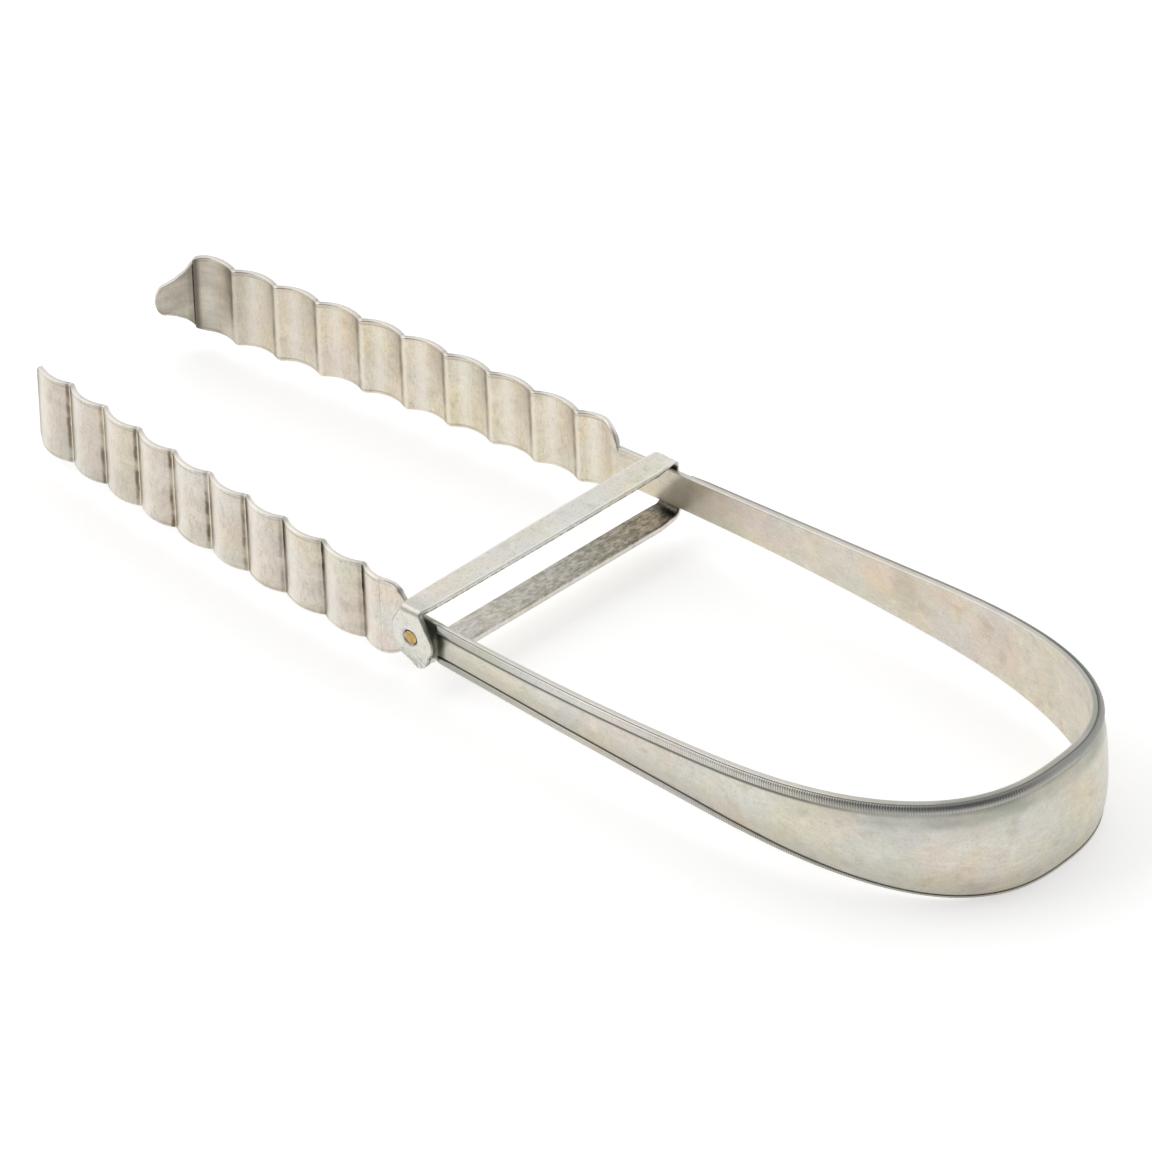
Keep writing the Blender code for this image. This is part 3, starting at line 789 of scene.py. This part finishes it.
def crease_tarnish_and_shading(s, at, colour):
    """Tarnish and painted light at every crease.

    Outside, it is painted shade across each flute toward a crease, a brown band, a painted yellow highlight
    line and a dark line, partly tarnish and partly painted shade. Inside, it is painted shade, deepest high
    up, and a brown streak beside a painted highlight on the ridge. Each flute carries a painted highlight a
    little past its crease.
    """
    spread = s.math("SUBTRACT", s.noise(at.rest, 0.45, 3.0), 0.5)
    place = s.math("ADD", at.valley, s.math("MULTIPLY", spread, 0.45))
    high = s.smooth(at.up, -6.0, 9.0)
    tip_side = s.smooth(at.valley, 0.25, -0.05)
    near_tip = s.smooth(at.from_root, 22.0, 60.0)
    near_root = s.math("SUBTRACT", 1.0, near_tip)

    # Painted shade deepening across each flute toward a crease; inside, deepest high up.
    soft = s.math("MULTIPLY", s.smooth(at.valley, -6.0, -0.4), tip_side)
    inside = s.math("MULTIPLY", soft, s.math("ADD", 0.08, s.math("MULTIPLY", high, 0.50)))
    outside = s.math("MULTIPLY", soft, s.math("ADD", 0.20, s.math("MULTIPLY", at.patchy, 0.22)))
    outside, inside = s.math("MULTIPLY", outside, at.outer), s.math("MULTIPLY", inside, at.inner)
    colour = s.mix(s.math("ADD", outside, inside), colour, (0.34, 0.295, 0.24))
    # A painted highlight on each flute a little past its crease.
    crest = s.math("MULTIPLY", s.band(at.valley, 3.2, 2.4), 0.42)
    colour = s.mix(crest, colour, (0.92, 0.89, 0.83))

    outside = s.math("MULTIPLY", s.band(place, -0.78, 0.62), s.math("MULTIPLY", at.outer, 0.85))
    outside = s.math("MULTIPLY", outside, s.math("ADD", 0.35, s.math("MULTIPLY", near_tip, 0.65)))
    inside = s.math("MULTIPLY", s.band(place, -0.95, 0.85), s.math("MULTIPLY", at.inner, 0.46))
    patches = s.math("ADD", 0.45, at.patchy)
    brown = s.math("MULTIPLY", s.math("ADD", outside, inside), patches, clamp=True)
    colour = s.mix(brown, colour, (0.17, 0.13, 0.085))
    # A painted yellow highlight line beside each crease, outside.
    worn = s.math("MULTIPLY", s.band(place, -0.22, 0.30), s.math("MULTIPLY", at.outer, 0.95))
    worn = s.math("MULTIPLY", worn, s.math("ADD", 0.2, near_tip), clamp=True)
    colour = s.mix(worn, colour, (0.88, 0.79, 0.60))
    # A painted highlight along each ridge inside.
    ridge = s.math("MULTIPLY", s.band(place, 0.0, 0.45), s.math("MULTIPLY", at.inner, 0.70))
    colour = s.mix(ridge, colour, (0.90, 0.84, 0.72))

    # A dark line at each crease outside, partly tarnish and partly painted shade.
    start = s.math("SUBTRACT", -0.10, s.math("MULTIPLY", near_root, 0.38))
    line = s.smooth(place, start, s.math("ADD", start, 0.18))
    line = s.math("MULTIPLY", s.smooth(at.valley, 2.1, 0.5), line)
    depth = s.math("ADD", s.math("MULTIPLY", near_root, 0.45), s.math("MULTIPLY", at.patchy, 0.35))
    taller = s.math("ADD", 0.55, s.math("MULTIPLY", high, 0.6))
    depth = s.math("MULTIPLY", s.math("ADD", depth, 0.35), taller)
    line = s.math("MULTIPLY", line, s.math("MULTIPLY", at.outer, depth), clamp=True)
    return s.mix(line, colour, (0.045, 0.035, 0.03))


def blade_tarnish(s, at, colour):
    """The claw and the flute beside it are the most tarnished, and the whole blade is darker toward its
    tip.
    """
    near_claw = s.math("MULTIPLY", s.smooth(at.from_root, 88.0, 97.0), at.inner)
    dull = s.math("MULTIPLY", near_claw, s.math("ADD", 0.18, s.math("MULTIPLY", at.patchy, 0.45)))
    colour = s.mix(dull, colour, (0.22, 0.205, 0.16))
    fold = s.math("MULTIPLY", s.band(at.from_root, 102.7, 1.0), at.inner)
    colour = s.mix(s.math("MULTIPLY", fold, 0.9), colour, (0.07, 0.055, 0.04))
    toward_tip = s.math("MULTIPLY", s.smooth(at.from_root, 50.0, 100.0), 0.16)
    return s.mix(toward_tip, colour, (0.40, 0.385, 0.36))


def arm_stains_and_shade(s, at, colour):
    """Verdigris and painted shade behind the guide's ear, a painted shadow and a stain inside the arms, and
    nicks at the shoulders.
    """
    # Verdigris with painted shade on the near arm just past the ear, where the gap behind the ear is in
    # shade.
    gap = s.math("MULTIPLY", s.smooth(at.from_root, -12.6, -10.8), at.strip)
    colour = s.mix(s.math("MULTIPLY", gap, 0.85), colour, (0.05, 0.065, 0.05))
    # A painted shadow inside the arms beside the guide, with a slanted edge.
    shadow_slant = s.math("ADD", at.from_root, s.math("MULTIPLY", at.up, 0.84))
    dim = s.math("MULTIPLY", at.inner, s.smooth(shadow_slant, -11.4, -13.2))
    dim = s.math("MULTIPLY", s.smooth(at.from_root, -36.0, -16.0), dim)
    colour = s.mix(s.math("MULTIPLY", dim, 0.50), colour, (0.27, 0.26, 0.21))
    away = s.nodes.new("ShaderNodeVectorMath")
    away.operation = "DISTANCE"
    s.put(at.rest, away.inputs[0])
    away.inputs[1].default_value = ARM_STAIN_PLACE
    away = s.math("ADD", away.outputs["Value"], s.math("MULTIPLY", at.patchy, 3.0))
    stain_and_shade = s.math("MULTIPLY", s.smooth(away, 7.5, 2.0), s.math("MULTIPLY", at.inner, 0.28))
    colour = s.mix(stain_and_shade, colour, (0.30, 0.29, 0.24))
    nick = s.math("MULTIPLY", s.band(at.from_root, 0.2, 0.8), s.smooth(at.rim, 1.2, 0.5))
    return s.mix(s.math("MULTIPLY", nick, 0.9), colour, (0.05, 0.045, 0.035))


def bright_rims(s, at, colour):
    """The rims are worn bright and carry a painted highlight, over a thin dark line on the blades."""
    under = s.math("MULTIPLY", s.band(at.rim, 0.75, 0.35), s.math("MULTIPLY", at.blade, at.patchy))
    colour = s.mix(s.math("MULTIPLY", under, 0.5), colour, (0.22, 0.19, 0.15))
    # Worn rims with a painted highlight.
    bright = s.mix(at.blade, (0.64, 0.63, 0.595), (0.78, 0.77, 0.735))
    return s.mix(s.math("MULTIPLY", s.smooth(at.rim, 0.36, 0.10), 0.55), colour, bright)


def border_marks_and_shade(s, at, colour):
    """Dark lines where the border wires meet the panel, a painted reflection under the upper one on the
    bow, and painted shade toward the lower edge.
    """
    upper = s.smooth(at.up, -1.0, 1.0)
    lower = s.math("SUBTRACT", 1.0, upper)
    round_bow = s.smooth(at.along, 62.0, 30.0)
    upper_bow, lower_bow = (s.math("MULTIPLY", edge, round_bow) for edge in (upper, lower))

    # A painted dark grey-green reflection band under the upper wire round the bow.
    stain_and_shade = s.math("ADD", 0.24, s.math("MULTIPLY", at.patchy, 0.32))
    stain_and_shade = s.math("MULTIPLY", s.smooth(at.rim, 6.4, 4.0), stain_and_shade)
    stain_and_shade = s.math("ADD", stain_and_shade, s.math("MULTIPLY", s.smooth(at.rim, 12.0, 4.0), 0.16))
    stain_and_shade = s.math("MULTIPLY", stain_and_shade, upper_bow)
    colour = s.mix(s.math("MULTIPLY", stain_and_shade, at.strip), colour, (0.27, 0.28, 0.24))
    # Painted shade toward the strip's lower edge.
    foot = s.math("MULTIPLY", s.math("MULTIPLY", s.smooth(at.rim, 8.0, 2.5), lower), at.strip)
    colour = s.mix(s.math("MULTIPLY", foot, 0.30), colour, (0.36, 0.33, 0.26))

    narrow = s.math("DIVIDE", s.math("SUBTRACT", 80.0, at.along), 50.0, clamp=True)
    low_centre = s.math("SUBTRACT", 1.60, s.math("MULTIPLY", narrow, 0.85))
    centre = s.math("ADD", s.math("MULTIPLY", upper, 2.32), s.math("MULTIPLY", lower, low_centre))
    reach = s.math("ADD", 0.38, s.math("MULTIPLY", upper, 0.27))
    groove = s.smooth(s.math("ABSOLUTE", s.math("SUBTRACT", at.rim, centre)), reach, 0.10)
    fade = s.math("ADD", s.math("MULTIPLY", upper_bow, 0.65), s.math("MULTIPLY", lower, 0.15))
    past_guide = s.math("MULTIPLY", lower, s.smooth(at.along, 125.0, 70.0))
    fade = s.math("ADD", fade, s.math("MULTIPLY", past_guide, 0.22))
    fade = s.math("ADD", fade, s.math("MULTIPLY", lower_bow, 0.22))
    groove = s.math("MULTIPLY", groove, s.math("SUBTRACT", 0.88, fade))
    return s.mix(s.math("MULTIPLY", groove, at.strip), colour, (0.11, 0.105, 0.09))


def sheet_material():
    s = Shading("Old_Silver_Sheet")
    at = sheet_places(s)
    colour, streak, pits = silver_ground(s, at)
    for tarnish in (crease_tarnish_and_shading, blade_tarnish, arm_stains_and_shade, bright_rims, border_marks_and_shade):
        colour = tarnish(s, at, colour)
    cloud = s.noise(at.rest, 0.25, 4.0, 0.55)
    roughness = s.math("ADD", 0.27, s.math("MULTIPLY", cloud, 0.18))
    normal = s.bump(s.noise(at.rest, 0.22, 2.0), 0.25, 0.6)
    normal = s.bump(streak, 0.04, 0.4, normal)
    normal = s.bump(s.math("MULTIPLY", pits, -1.0), 0.05, 0.6, normal)
    return s.finish(colour, roughness, normal)


def wire_material():
    s = Shading("Milled_Silver_Wire")
    rest = s.attribute("rest", vector=True)
    body, rib = s.attribute("body"), s.attribute("rib")
    colour = patina(s, (0.68, 0.665, 0.625), rest, 0.8)
    grain = s.noise(rest, 1.4, 4.0, 0.7)
    colour = s.mix(s.math("MULTIPLY", s.smooth(grain, 0.45, 0.75), 0.3), colour, (0.28, 0.265, 0.23))
    low = s.smooth(body, 0.75, 0.2)
    colour = s.mix(s.math("MULTIPLY", low, 0.75), colour, (0.13, 0.12, 0.10))
    turn = s.attribute("turn")
    # Painted shade on the lower wire, which faces the floor.
    colour = s.mix(s.math("MULTIPLY", s.smooth(turn, -0.1, -0.9), 0.3), colour, (0.24, 0.23, 0.20))
    # A painted dark bluish reflection on the upper wire's top round the bow.
    top = s.math("MULTIPLY", s.smooth(turn, 1.0, 0.45), s.smooth(turn, -0.5, 0.0))
    top = s.math("MULTIPLY", top, s.smooth(s.attribute("along"), 62.0, 40.0))
    colour = s.mix(s.math("MULTIPLY", top, 0.66), colour, (0.16, 0.175, 0.18))
    dim = s.smooth(s.attribute("from_guide"), 40.0, 4.0)
    colour = s.mix(s.math("MULTIPLY", dim, 0.40), colour, (0.20, 0.21, 0.185))
    colour = s.mix(s.math("MULTIPLY", rib, 0.6), colour, (0.17, 0.165, 0.145))
    return s.finish(colour, s.math("ADD", 0.28, s.math("MULTIPLY", rib, 0.2)), None)


def guide_material():
    s = Shading("Old_Silver_Guide")
    rest = s.attribute("rest", vector=True)
    rim, face, turned = s.attribute("rim"), s.attribute("face"), s.attribute("turned")
    along, wide = s.attribute("along"), s.attribute("wide")
    colour = patina(s, (0.77, 0.76, 0.715), rest, 0.8)
    # The low bar's upper face is browned, and darkest at the far end.
    place = s.nodes.new("ShaderNodeSeparateXYZ")
    s.put(rest, place.inputs[0])
    far = s.smooth(place.outputs["Y"], -30.0, 34.0)
    low_bar = s.math("MULTIPLY", s.smooth(turned, 0.0, -0.9), s.smooth(face, 0.2, -0.4))
    streak = s.noise(s.vector(s.math("MULTIPLY", along, 0.45), wide, turned), 1.3, 8.0, 0.8)
    soil = s.math("ADD", 0.45, s.math("MULTIPLY", far, 0.35))
    soil = s.math("MULTIPLY", s.smooth(streak, 0.40, 0.60), soil)
    soil = s.math("ADD", soil, s.math("MULTIPLY", far, 0.38))
    soil = s.math("MULTIPLY", low_bar, s.math("ADD", 0.10, s.math("MULTIPLY", soil, 0.75)))
    colour = s.mix(soil, colour, (0.17, 0.145, 0.10))
    # Painted shadow on the guide's inner face at the far end, under the far arm.
    painted_arm_shadow = s.math("MULTIPLY", s.smooth(turned, 0.6, 0.2), s.smooth(face, 0.2, -0.4))
    painted_arm_shadow = s.math("MULTIPLY", painted_arm_shadow, s.smooth(place.outputs["Y"], 29.5, 32.5))
    colour = s.mix(s.math("MULTIPLY", painted_arm_shadow, 0.85), colour, (0.04, 0.035, 0.025))
    colour = s.mix(s.math("MULTIPLY", s.smooth(streak, 0.48, 0.72), 0.35), colour, (0.40, 0.375, 0.31))
    grain = s.noise(rest, 1.6, 4.0, 0.7)
    colour = s.mix(s.math("MULTIPLY", s.smooth(grain, 0.48, 0.75), 0.40), colour, (0.36, 0.34, 0.28))
    specks = s.smooth(s.noise(rest, 1.2, 3.0, 0.6), 0.66, 0.72)
    colour = s.mix(s.math("MULTIPLY", specks, 0.35), colour, (0.14, 0.135, 0.10))
    # Grime and painted shadow along the lower half of the top bar's edge.
    corner = s.smooth(place.outputs["Z"], MID_Z + 6.4, MID_Z + 6.0)
    corner = s.math("MULTIPLY", corner, s.smooth(wide, 2.0, 2.6))
    corner = s.math("MULTIPLY", corner, s.smooth(turned, 0.2, 0.8))
    worn = s.smooth(s.noise(s.vector(along, wide, 0.0), 0.9, 3.0, 0.6), 0.40, 0.58)
    ear = s.smooth(s.math("ABSOLUTE", turned), 0.5, 0.2)
    ear = s.math("MULTIPLY", ear, s.smooth(place.outputs["Y"], -33.0, -34.5))
    grime_and_shade = s.math("ADD", 0.35, s.math("MULTIPLY", worn, 0.5))
    colour = s.mix(s.math("MULTIPLY", corner, grime_and_shade), colour, (0.09, 0.085, 0.06))
    # A painted highlight along the edges of the guide's outer face.
    edge = s.math("MULTIPLY", s.band(rim, 0.30, 0.28), s.smooth(face, 0.3, 0.8))
    colour = s.mix(s.math("MULTIPLY", edge, 0.6), colour, (0.96, 0.955, 0.92))
    # The ear is stained along its outline and toward its foot.
    outline = s.math("ADD", 0.38, s.math("MULTIPLY", worn, 0.25))
    outline = s.math("MULTIPLY", s.smooth(rim, 0.55, 0.05), outline)
    foot = s.math("MULTIPLY", s.smooth(place.outputs["Z"], MID_Z - 1.0, MID_Z - 6.5), worn)
    stain_and_shade = s.math("MAXIMUM", outline, s.math("MULTIPLY", foot, 0.45))
    side = s.math("MULTIPLY", s.smooth(s.math("ABSOLUTE", face), 0.7, 0.1), 0.85)
    stain_and_shade = s.math("MAXIMUM", stain_and_shade, side)
    colour = s.mix(s.math("MULTIPLY", stain_and_shade, ear), colour, (0.11, 0.12, 0.09))
    # Painted shade on the near fold, dulling its highlight.
    fold = s.math("MULTIPLY", s.band(turned, 0.65, 0.6), s.smooth(place.outputs["Y"], -30.0, -34.0))
    colour = s.mix(s.math("MULTIPLY", fold, 0.65), colour, (0.32, 0.31, 0.28))
    normal = s.bump(s.noise(rest, 0.25, 2.0), 0.25, 0.6)
    normal = s.bump(s.noise(rest, 1.8, 4.0, 0.6), 0.06, 0.5, normal)
    return s.finish(colour, s.math("ADD", 0.30, s.math("MULTIPLY", grain, 0.16)), normal)


def brass_material():
    s = Shading("Worn_Brass")
    rest = s.attribute("rest", vector=True)
    radius = s.attribute("radius")
    cloud = s.noise(rest, 1.1, 4.0, 0.6)
    colour = s.mix(s.smooth(cloud, 0.35, 0.65), (0.72, 0.49, 0.19), (0.46, 0.31, 0.12))
    colour = s.mix(s.smooth(radius, 1.42, 1.52), colour, (0.05, 0.045, 0.03))
    return s.finish(colour, 0.38, s.bump(cloud, 0.08, 0.5))


def spacer_material():
    s = Shading("Verdigris_Spacer")
    node = s.nodes.new("ShaderNodeTexCoord")
    coordinates = s.scaled(node.outputs["Object"], (1000.0, 1000.0, 1000.0))
    green = s.smooth(s.noise(coordinates, 0.8, 4.0, 0.6), 0.4, 0.6)
    colour = s.mix(green, (0.03, 0.045, 0.035), (0.10, 0.20, 0.16))
    return s.finish(colour, 0.8, None, metallic=0.2)


# ---------------------------------------------------------------- stage


def floor_piece():
    size = FLOOR_HALF_SIZE_M
    mesh = bpy.data.meshes.new("floor")
    corners = [(-size, -size, 0), (size, -size, 0), (size, size, 0), (-size, size, 0)]
    mesh.from_pydata(corners, [], [(0, 1, 2, 3)])
    floor = bpy.data.objects.new("floor", mesh)
    bpy.context.scene.collection.objects.link(floor)
    s = Shading("White_Floor")
    s.shader.inputs["Emission Color"].default_value = (1.0, 1.0, 1.0, 1.0)
    s.shader.inputs["Emission Strength"].default_value = FLOOR_GLOW
    mesh.materials.append(s.finish((0.80, 0.80, 0.80), 0.9, None, metallic=0.0))


def area_light(name, place, target, size, power):
    lamp = bpy.data.lights.new(name, "AREA")
    lamp.shape = "DISK"
    lamp.size = size
    lamp.energy = power
    obj = bpy.data.objects.new(name, lamp)
    obj.location = place
    obj.rotation_euler = (Vector(target) - Vector(place)).to_track_quat("-Z", "Y").to_euler()
    bpy.context.scene.collection.objects.link(obj)


def studio():
    """A pale room, dimmer on the camera's side above the table, and one large soft light on the left."""
    world = bpy.data.worlds.new("Studio")
    bpy.context.scene.world = world
    world.use_nodes = True
    nodes, links = world.node_tree.nodes, world.node_tree.links
    place = nodes.new("ShaderNodeTexCoord")
    side = nodes.new("ShaderNodeVectorMath")
    side.operation = "DOT_PRODUCT"
    side.inputs[1].default_value = DIM_SIDE
    links.new(place.outputs["Generated"], side.inputs[0])
    ramp = nodes.new("ShaderNodeMapRange")
    ramp.interpolation_type = "SMOOTHSTEP"
    links.new(side.outputs["Value"], ramp.inputs["Value"])
    steps = {"From Min": 0.1, "From Max": 0.9, "To Min": ROOM_BRIGHT, "To Max": ROOM_DIM}
    for socket, value in steps.items():
        ramp.inputs[socket].default_value = value
    links.new(ramp.outputs["Result"], nodes["Background"].inputs["Strength"])
    nodes["Background"].inputs["Color"].default_value = (1.0, 1.0, 1.0, 1.0)
    area_light("left_light", LEFT_LIGHT_PLACE_M, (0.0, 0.0, 0.0), LEFT_LIGHT_SIZE_M, LEFT_LIGHT_POWER)
    bpy.context.scene.view_settings.view_transform = "Standard"


def camera():
    lens = bpy.data.cameras.new("Camera")
    lens.lens = LENS
    lens.sensor_width = 36.0
    lens.clip_start, lens.clip_end = 0.5, 50.0
    obj = bpy.data.objects.new("Camera", lens)
    az, el = math.radians(AZIMUTH), math.radians(ELEVATION)
    back = Vector((math.cos(az) * math.cos(el), math.sin(az) * math.cos(el), math.sin(el)))
    turn = Matrix.Rotation(math.radians(ROLL), 4, "Z")
    facing = (-back).to_track_quat("-Z", "Y").to_matrix().to_4x4()
    obj.matrix_world = Matrix.Translation((Vector(AIM) + back * DISTANCE) * MM) @ facing @ turn
    bpy.context.scene.collection.objects.link(obj)
    bpy.context.scene.camera = obj


# ---------------------------------------------------------------- build

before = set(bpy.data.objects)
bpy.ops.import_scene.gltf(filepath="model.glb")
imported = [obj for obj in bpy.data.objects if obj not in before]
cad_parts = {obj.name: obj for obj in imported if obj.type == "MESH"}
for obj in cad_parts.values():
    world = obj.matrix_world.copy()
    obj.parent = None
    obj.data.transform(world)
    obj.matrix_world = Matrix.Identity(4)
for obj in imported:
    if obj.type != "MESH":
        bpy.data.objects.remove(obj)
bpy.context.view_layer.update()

silver_sheet = sheet_material()
silver_wire = wire_material()
silver_guide = guide_material()
brass = brass_material()

for half in SIDES:
    made = sheet_piece(half, silver_sheet)
    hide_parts(half + "_arm_strip", half + "_blade", "bow_strip")
    pieces = [made]
    for upper in (True, False):
        made = border_piece(half, upper, silver_wire)
        edge = "upper" if upper else "lower"
        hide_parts(f"{half}_{edge}_border", f"bow_{edge}_border")
        pieces.append(made)
    for made in pieces:
        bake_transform(made)

guide = guide_piece(silver_guide)
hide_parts("guide_bar", "guide_cheek")
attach(guide, "guide")

rivet = rivet_piece(brass)
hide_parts("guide_rivet")
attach(rivet, "near_arm")

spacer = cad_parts["guide_spacer"]
spacer.data.materials.clear()
spacer.data.materials.append(spacer_material())

floor_piece()
studio()
camera()
